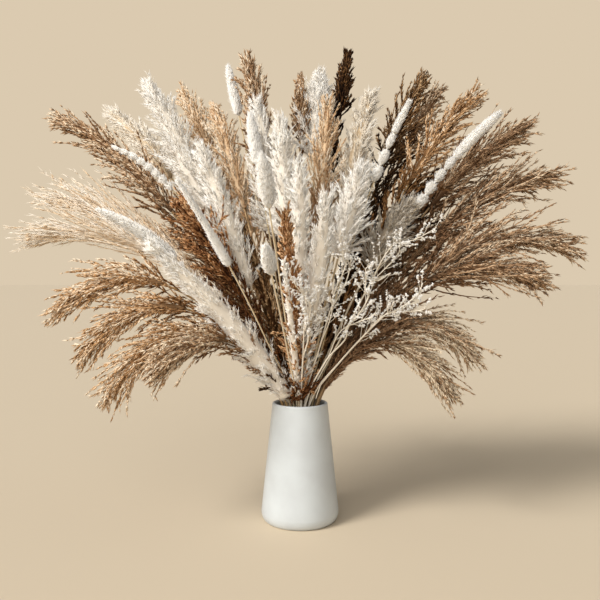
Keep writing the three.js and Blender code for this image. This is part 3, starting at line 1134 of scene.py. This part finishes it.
@dataclass
class CaspiaStem(Stem):
    """A spray of fine twigs with small papery flowers towards the end of every twiglet."""

    foot_below: float = mm(9)
    twiglet_every: float = mm(4.6)
    twiglet_length: float = mm(26)
    bare_to: float = mm(238)
    leafy: float = mm(120)
    flowers: int = 9
    flower_size: float = mm(3.3)
    petals: int = 4

    def grow(self) -> None:
        """Adds the stem, its twigs, twiglets and flowers."""
        shape = NodeShape(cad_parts[self.node])
        taken: set[int] = set()
        for order, tip in enumerate(shape.tips()):
            way = shape.way_to(tip)
            free = [index for index in way if index not in taken]
            taken.update(way)
            if len(free) < 3:
                continue
            points = shape.places[[way[len(way) - len(free) - 1], *free] if order else way]
            if points[0, 2] < self.foot_below:
                above = points[:, 2] > points[0, 2] + mm(6)
                # The cut end stays clear of the vase's floor.
                points = np.concatenate((points[:1] + UP * mm(1), points[above]))
            radii = np.linspace(mm(0.8) if order else mm(1.15), mm(0.4), len(points))
            line = StemLine.through(points, radii, steps=50)
            self.tress.sweep(line, line.radius)
            self.add_twiglets(line)

    def add_twiglets(self, line: StemLine) -> None:
        """Grows twiglets up a twig, above the bare part of the bunch, each with its flowers.

        Args:
            line: the twig's line.
        """
        clear = line.distance[int(np.argmax(line.frames.place[:, 2] > self.bare_to))]
        bare = max(clear, line.length - self.leafy) / line.length
        count = max(int((1 - bare) * line.length / self.twiglet_every), 3)
        shares = np.linspace(bare, 0.98, count) + self.spread(-0.015, 0.015, count)
        frames = line.at(shares * line.length)
        outward = frames.outward(np.arange(count) * math.pi * 0.88 + self.spread(-0.4, 0.4, count))
        lean = self.spread(0.45, 0.8, count)
        ways = turned(frames.along, outward, lean)
        lengths = self.twiglet_length * self.spread(0.7, 1.3, count) * (1.25 - 0.7 * shares)
        ways = ways * lengths[:, None]
        bends = UP * (0.18 * lengths)[:, None]
        ways, bends = shortened(frames.place, ways, bends)
        width = np.full(count, mm(0.36))
        tone = Band.STALK.tones(self.spread(0, 1, count))
        self.tress.scatter(TWIG, frames.place, ways, width, bends, tone)
        owner = np.repeat(np.arange(count), self.flowers)
        share = self.spread(0.45, 1.0, len(owner))
        place = frames.place[owner] + ways[owner] * share[:, None]
        place = place + bends[owner] * (share**2)[:, None]
        along = self.around(unit(ways[owner] + 2 * bends[owner]), self.spread(0.2, 0.8, len(owner)))
        self.add_flowers(place, along)

    def add_flowers(self, roots: Array, along: Array) -> None:
        """Adds a cup and its petals at each place.

        Args:
            roots: where each flower sits.
            along: the way that each flower faces.
        """
        count = len(roots)
        size = self.flower_size * self.spread(0.7, 1.2, count)
        still = np.zeros((count, 3))
        cup = Band.SEED.tones(self.spread(0.3, 1, count))
        self.tress.scatter(HUSK, roots, along * size[:, None], size * 0.2, still, cup)
        middle = roots + along * (0.5 * size)[:, None]
        side = unit(np.cross(along, np.array((0.2, 0.5, 0.8))))
        front = np.cross(along, side)
        for petal in range(self.petals):
            angle = petal * 2 * math.pi / self.petals
            outward = side * math.cos(angle) + front * math.sin(angle)
            ways = (along * 0.75 + outward * 0.5) * (0.6 * size)[:, None]
            bends = outward * (0.18 * size)[:, None]
            tone = Band.HAIR.tones(self.spread(0.3, 1, count))
            self.tress.scatter(HUSK, middle, ways, size * 0.19, bends, tone)


# ---- Vase ----

ARC_STEPS = 14
BOWL_STEPS = 10
WALL_STEPS = 13


@dataclass
class Vase:
    """The tapered vase, turned again as a smooth shell on the frame node's sizes."""

    node: str = "vase"
    height: float = mm(154)
    rim_radius: float = mm(36.2)
    belly_radius: float = mm(50.5)
    belly_height: float = mm(13)
    foot_radius: float = mm(43)
    wall: float = mm(4.5)
    floor: float = mm(6)
    turns: int = 128
    glaze: SatinGlaze = field(default_factory=SatinGlaze)

    @staticmethod
    def arc(middle: Pair, size: Pair, start: float, end: float, steps: int) -> list[Pair]:
        """Points on part of an ellipse.

        Args:
            middle: the ellipse's middle, as a radius and a height.
            size: its half-axes, outwards and upwards.
            start: the first angle, in radians from straight outwards.
            end: the last angle.
            steps: how many steps there are between them.

        Returns:
            Radii and heights.
        """
        angles = [start + (end - start) * step / steps for step in range(steps + 1)]
        return [
            (middle[0] + size[0] * math.cos(angle), middle[1] + size[1] * math.sin(angle))
            for angle in angles
        ]

    def outline(self) -> list[Pair]:
        """The vase's outline.

        Returns:
            Radii and heights from the middle of the foot, up outside, and down to the floor.
        """
        lip = self.wall / 2
        corner = self.belly_radius - self.foot_radius
        rim = (self.rim_radius - lip, self.height - lip)
        belly = (self.foot_radius, self.belly_height)
        inside = (corner, self.belly_height - self.floor / 2)
        bowl = (self.foot_radius - self.wall, self.floor + inside[1])
        outer = self.arc(belly, (corner, self.belly_height), -math.pi / 2, 0.0, ARC_STEPS)
        lips = self.arc(rim, (lip, lip), 0.0, math.pi, ARC_STEPS)
        inner = self.arc(bowl, inside, 0.0, -math.pi / 2, BOWL_STEPS)
        return [
            (0.0, 0.0), *outer, *self.between(outer[-1], lips[0]), *lips,
            *self.between(lips[-1], inner[0]), *inner, (0.0, self.floor),
        ]

    @staticmethod
    def between(start: Pair, end: Pair) -> list[Pair]:
        """Points on a straight line, without its two ends."""
        return [tuple(map(float, point)) for point in np.linspace(start, end, WALL_STEPS)[1:-1]]

    def build(self) -> bpy.types.Object:
        """Spins the outline into the vase and fits it in the frame.

        Returns:
            The piece.
        """
        shape = bmesh.new()
        verts = [shape.verts.new((radius, 0, height)) for radius, height in self.outline()]
        edges = [shape.edges.new(pair) for pair in zip(verts, verts[1:])]
        bmesh.ops.spin(
            shape, geom=[*verts, *edges], cent=(0, 0, 0), axis=(0, 0, 1), dvec=(0, 0, 0),
            angle=2 * math.pi, steps=self.turns, use_merge=True, use_duplicate=False,
        )
        bmesh.ops.remove_doubles(shape, verts=shape.verts, dist=1e-6)
        bmesh.ops.recalc_face_normals(shape, faces=shape.faces)
        for face in shape.faces:
            face.smooth = True
        mesh = bpy.data.meshes.new("glazed_vase")
        shape.to_mesh(mesh)
        shape.free()
        mesh.materials.append(self.glaze.material())
        return fit(mesh, self.node)


# ---- The bunch ----

Habit = dict[str, object]


def habit(*bases: Habit, **fields: object) -> Habit:
    """Notes what a stem does differently from its kind.

    Args:
        bases: habits to start from.
        fields: the stem's fields, with lengths in millimetres.

    Returns:
        All the fields, with lengths in metres.
    """
    for name in IN_MILLIMETRES & fields.keys():
        value = fields[name]
        fields[name] = tuple(map(mm, value)) if isinstance(value, tuple) else mm(value)
    if "outline" in fields:
        fields["outline"] = tuple((share, mm(radius)) for share, radius in fields["outline"])
    return {name: value for each in (*bases, fields) for name, value in each.items()}


IN_MILLIMETRES = {
    "branch_length", "branch_width", "hair_length", "hair_width", "core", "bristle_length",
}
# Long pale strands swept sideways, almost without husks.
WISPS = habit(
    finish=PALE_REED, branch_length=(125, 60), branch_lean=(0.4, 0.12), branches=140, seeds=2,
    hairs=28, hair_length=18, hair_lean=(0.04, 0.2), hair_width=0.42, droop=0.04, stray=0.07,
    mottle=0.3, branch_width=0.6, below_tone=0.8, core_tone=0.6, tone=0.2,
)
# Soft pale strands with a few fine husks.
SOFT = habit(
    finish=PEACH_REED, mottle=0.3, hairs=26, hair_width=0.75, seeds=4, below_tone=0.7,
    core_tone=0.5,
)
# Long heavy strands that sweep outwards and splay.
SWEEPING = habit(
    branch_length=(92, 42), branch_lean=(0.72, 0.2), droop=0.07, branches=165, hair_length=13,
    hair_width=0.95, mottle=0.34, below_tone=0.25,
)
# Soft barbs on a thick middle.
FLUFFY = habit(
    core=11, hair_lean=(0.2, 0.9), branches=200, branch_length=(56, 26), branch_lean=(0.95, 0.3),
)
# Barbs held close along the stalk.
NARROW = habit(branch_length=(38, 22), branch_lean=(0.7, 0.3), below=0.22, below_tone=0.9)
# Strands that fill the middle of the bunch, those below the head painted nearly black as shade.
DEEP = habit(below=0.5, branches=150, branch_lean=(0.85, 0.25), below_tone=0.05)
# Loose strands that hang over the rim.
DROOPING = habit(below=0.2, branches=132, tone=0.2)
# Small husks close together on a stiff head.
CLOSE = habit(branch_length=(34, 18), hair_length=8, seeds=14, stray=0.06)
# Pale strands that droop at the lower right.
FADED = habit(tone=0.5, mottle=0.2, hair_width=0.85)
# Fur combed close to the stalk.
COMBED = habit(bristle_lean=(0.15, 0.65), packed=0.86)
GINGER = habit(finish=GINGER_REED)
UMBER = habit(finish=UMBER_REED)

# Each sort of node: what it grows as, its finish, and the habits of some stems by number.
KINDS: dict[str, tuple[type[Stem], DriedFibre, dict[int, Habit]]] = {
    "pampas_white": (PampasStem, WHITE_PLUME, {
        1: habit(
            FLUFFY, from_rim=True, branches=430, branch_length=(38, 20), hairs=27,
            hair_lean=(0.1, 0.6), branch_lean=(0.75, 0.3), core=13,
        ),
        2: FLUFFY, 6: NARROW, 7: NARROW, 8: FLUFFY,
        10: habit(
            from_rim=True, branch_length=(14, 9), core=4, branch_lean=(0.45, 0.3), hair_length=7,
            hairs=22,
        ),
    }),
    "pampas_beige": (PampasStem, BEIGE_PLUME, {}),
    "pampas_grey": (PampasStem, GREY_SHADED_PLUME, {}),
    "foxtail": (SpikeStem, WHITE_SPIKE, {
        1: habit(
            bristle_length=5, bristles=4200,
            outline=((0.0, 3.5), (0.08, 5.4), (0.3, 5.4), (0.42, 3.6), (0.85, 3.2), (1.0, 1.5)),
        ),
        2: habit(bristle_length=7, bristles=4600),
        5: habit(lumps=8, bristle_length=5.5),
        6: habit(
            lumps=3, lumpy_to=0.6, cleft=0.6, bristle_length=5, bristles=4400,
            outline=((0.0, 6), (0.3, 6), (0.6, 4), (0.78, 5.4), (1.0, 3)),
        ),
        7: habit(
            lumps=4, lumpy_to=0.5, cleft=0.6, bristle_length=6, bristles=5400,
            outline=(
                (0.0, 6), (0.2, 6), (0.32, 4.4), (0.48, 5), (0.62, 7.4), (0.85, 7.6), (0.94, 6),
                (1.0, 2.4),
            ),
        ),
    }),
    "bunny_tail": (SpikeStem, BUNNY_FUR, {
        1: habit(COMBED, bristles=4800),
        2: habit(COMBED, bristles=3800),
    }),
    "reed_tan": (ReedStem, TAN_REED, {
        1: habit(branches=190, branch_length=(72, 32)),
        2: SOFT, 3: SOFT, 5: WISPS, 6: WISPS, 7: DROOPING,
        4: habit(SOFT, below=0.5, branches=180, below_tone=0.25),
        8: habit(below=0.5),
    }),
    "reed_rust": (ReedStem, RUST_REED, {
        2: habit(
            from_rim=True, branches=250, branch_length=(40, 20), hairs=18, branch_lean=(0.8, 0.3),
            hair_length=9, tone=0.4,
        ),
        3: habit(DROOPING, GINGER),
        4: habit(DROOPING, GINGER),
    }),
    "reed_brown": (ReedStem, BROWN_SHADED_REED, {
        1: habit(finish=TAN_REED, branch_length=(56, 28)),
        2: habit(UMBER, from_rim=True),
        3: habit(CLOSE, finish=TAN_REED),
        4: habit(CLOSE, branches=150, below=0.4),
        5: habit(DEEP, UMBER, below=0.58, branches=200, branch_length=(80, 34)),
        6: habit(DEEP, GINGER, branches=185),
        7: habit(DEEP, branches=195, branch_length=(92, 40)),
        8: habit(DROOPING, GINGER),
        9: habit(DEEP, UMBER, tone=0.1),
    }),
    "reed_taupe": (ReedStem, TAUPE_REED, {
        1: habit(below=0.5, below_tone=0.05),
        2: SWEEPING, 3: SWEEPING, 4: SWEEPING, 5: SWEEPING, 6: FADED, 7: FADED,
        8: habit(DEEP, tone=-0.15),
        9: habit(DEEP, tone=-0.15),
    }),
    "caspia": (CaspiaStem, CASPIA_BLOOM, {}),
}


class Bunch:
    """Every stem of the frame, each grown as its own kind with its own habit."""

    @staticmethod
    def stem_for(node: str) -> Stem:
        """Chooses the stem that a node's name calls for.

        Args:
            node: the frame node's name.

        Returns:
            The stem, ready to build.
        """
        sort, number = node.rsplit("_", 1)
        stem, finish, habits = KINDS[sort]
        return stem(**habit({"node": node, "finish": finish}, habits.get(int(number), {})))

    def build(self) -> list[bpy.types.Object]:
        """Builds every stem.

        Returns:
            Their pieces.
        """
        names = sorted(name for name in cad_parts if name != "vase")
        return [self.stem_for(name).build() for name in names]


# ---- Studio ----


@dataclass
class Studio:
    """A plain pale floor, soft light from the upper left and a camera in front of the bunch."""

    eye: Triple = (0.0, -0.885, 0.3137)
    tilt: float = math.radians(-1.7)
    lens: float = 40.8
    sensor: float = 36.0
    floor_size: float = 40.0
    floor: PaleFloor = field(default_factory=PaleFloor)
    lamp_colour: str = "#fffdfa"
    ambient_colour: str = "#f1efeb"
    ambient_strength: float = 0.36
    backdrop: str = "#dbcab0"

    def build(self) -> None:
        """Sets up the floor, the lights, the sky and the camera."""
        self.add_floor()
        self.add_light("key", (-1.0, -0.75, 0.95), 24.0, 3.2)
        self.add_light("front", (-0.2, -1.0, 0.45), 60.0, 1.3)
        self.add_sky()
        self.add_camera()

    def add_floor(self) -> None:
        """Adds the floor."""
        shape = bmesh.new()
        bmesh.ops.create_grid(shape, x_segments=1, y_segments=1, size=self.floor_size)
        mesh = bpy.data.meshes.new("floor")
        shape.to_mesh(mesh)
        shape.free()
        mesh.materials.append(self.floor.material())
        floor = bpy.data.objects.new("floor", mesh)
        bpy.context.scene.collection.objects.link(floor)

    def add_light(
        self, name: str, source: Triple, width: float, strength: float
    ) -> None:
        """Adds a wide, distant, soft light.

        Args:
            name: the light's name.
            source: the direction that it comes from.
            width: how wide it looks, in degrees.
            strength: how bright it is, in watts for each square metre.
        """
        lamp = bpy.data.lights.new(name, "SUN")
        lamp.angle = math.radians(width)
        lamp.energy = strength
        lamp.color = linear(self.lamp_colour)[:3]
        light = bpy.data.objects.new(name, lamp)
        light.rotation_euler = (-Vector(source)).to_track_quat("-Z", "Y").to_euler()
        bpy.context.scene.collection.objects.link(light)

    def add_sky(self) -> None:
        """Lights the object from all round, and shows the camera a plain backdrop."""
        world = bpy.data.worlds.new("studio")
        world.use_nodes = True
        nodes = world.node_tree.nodes
        ambient = {"Color": linear(self.ambient_colour), "Strength": self.ambient_strength}
        dress(nodes["Background"], ambient)
        seen = add_node(world, "ShaderNodeLightPath")
        backdrop = add_node(world, "ShaderNodeBackground", {"Color": linear(self.backdrop)})
        either = add_node(
            world, "ShaderNodeMixShader", in0=seen.outputs["Is Camera Ray"],
            in1=nodes["Background"].outputs[0], in2=backdrop.outputs[0],
        )
        dress(nodes["World Output"], in_Surface=either.outputs[0])
        bpy.context.scene.world = world

    def add_camera(self) -> None:
        """Adds the camera."""
        data = bpy.data.cameras.new("camera")
        data.lens = self.lens
        data.sensor_width = self.sensor
        camera = bpy.data.objects.new("camera", data)
        camera.location = self.eye
        camera.rotation_euler = (math.pi / 2 + self.tilt, 0, 0)
        bpy.context.scene.collection.objects.link(camera)
        bpy.context.scene.camera = camera
        bpy.context.scene.view_settings.view_transform = "Standard"


def main() -> None:
    """Builds the vase, the bunch and the studio."""
    logging.basicConfig(level=logging.INFO, format="%(message)s")
    Vase().build()
    Bunch().build()
    Studio().build()


if __name__ == "__main__":
    main()
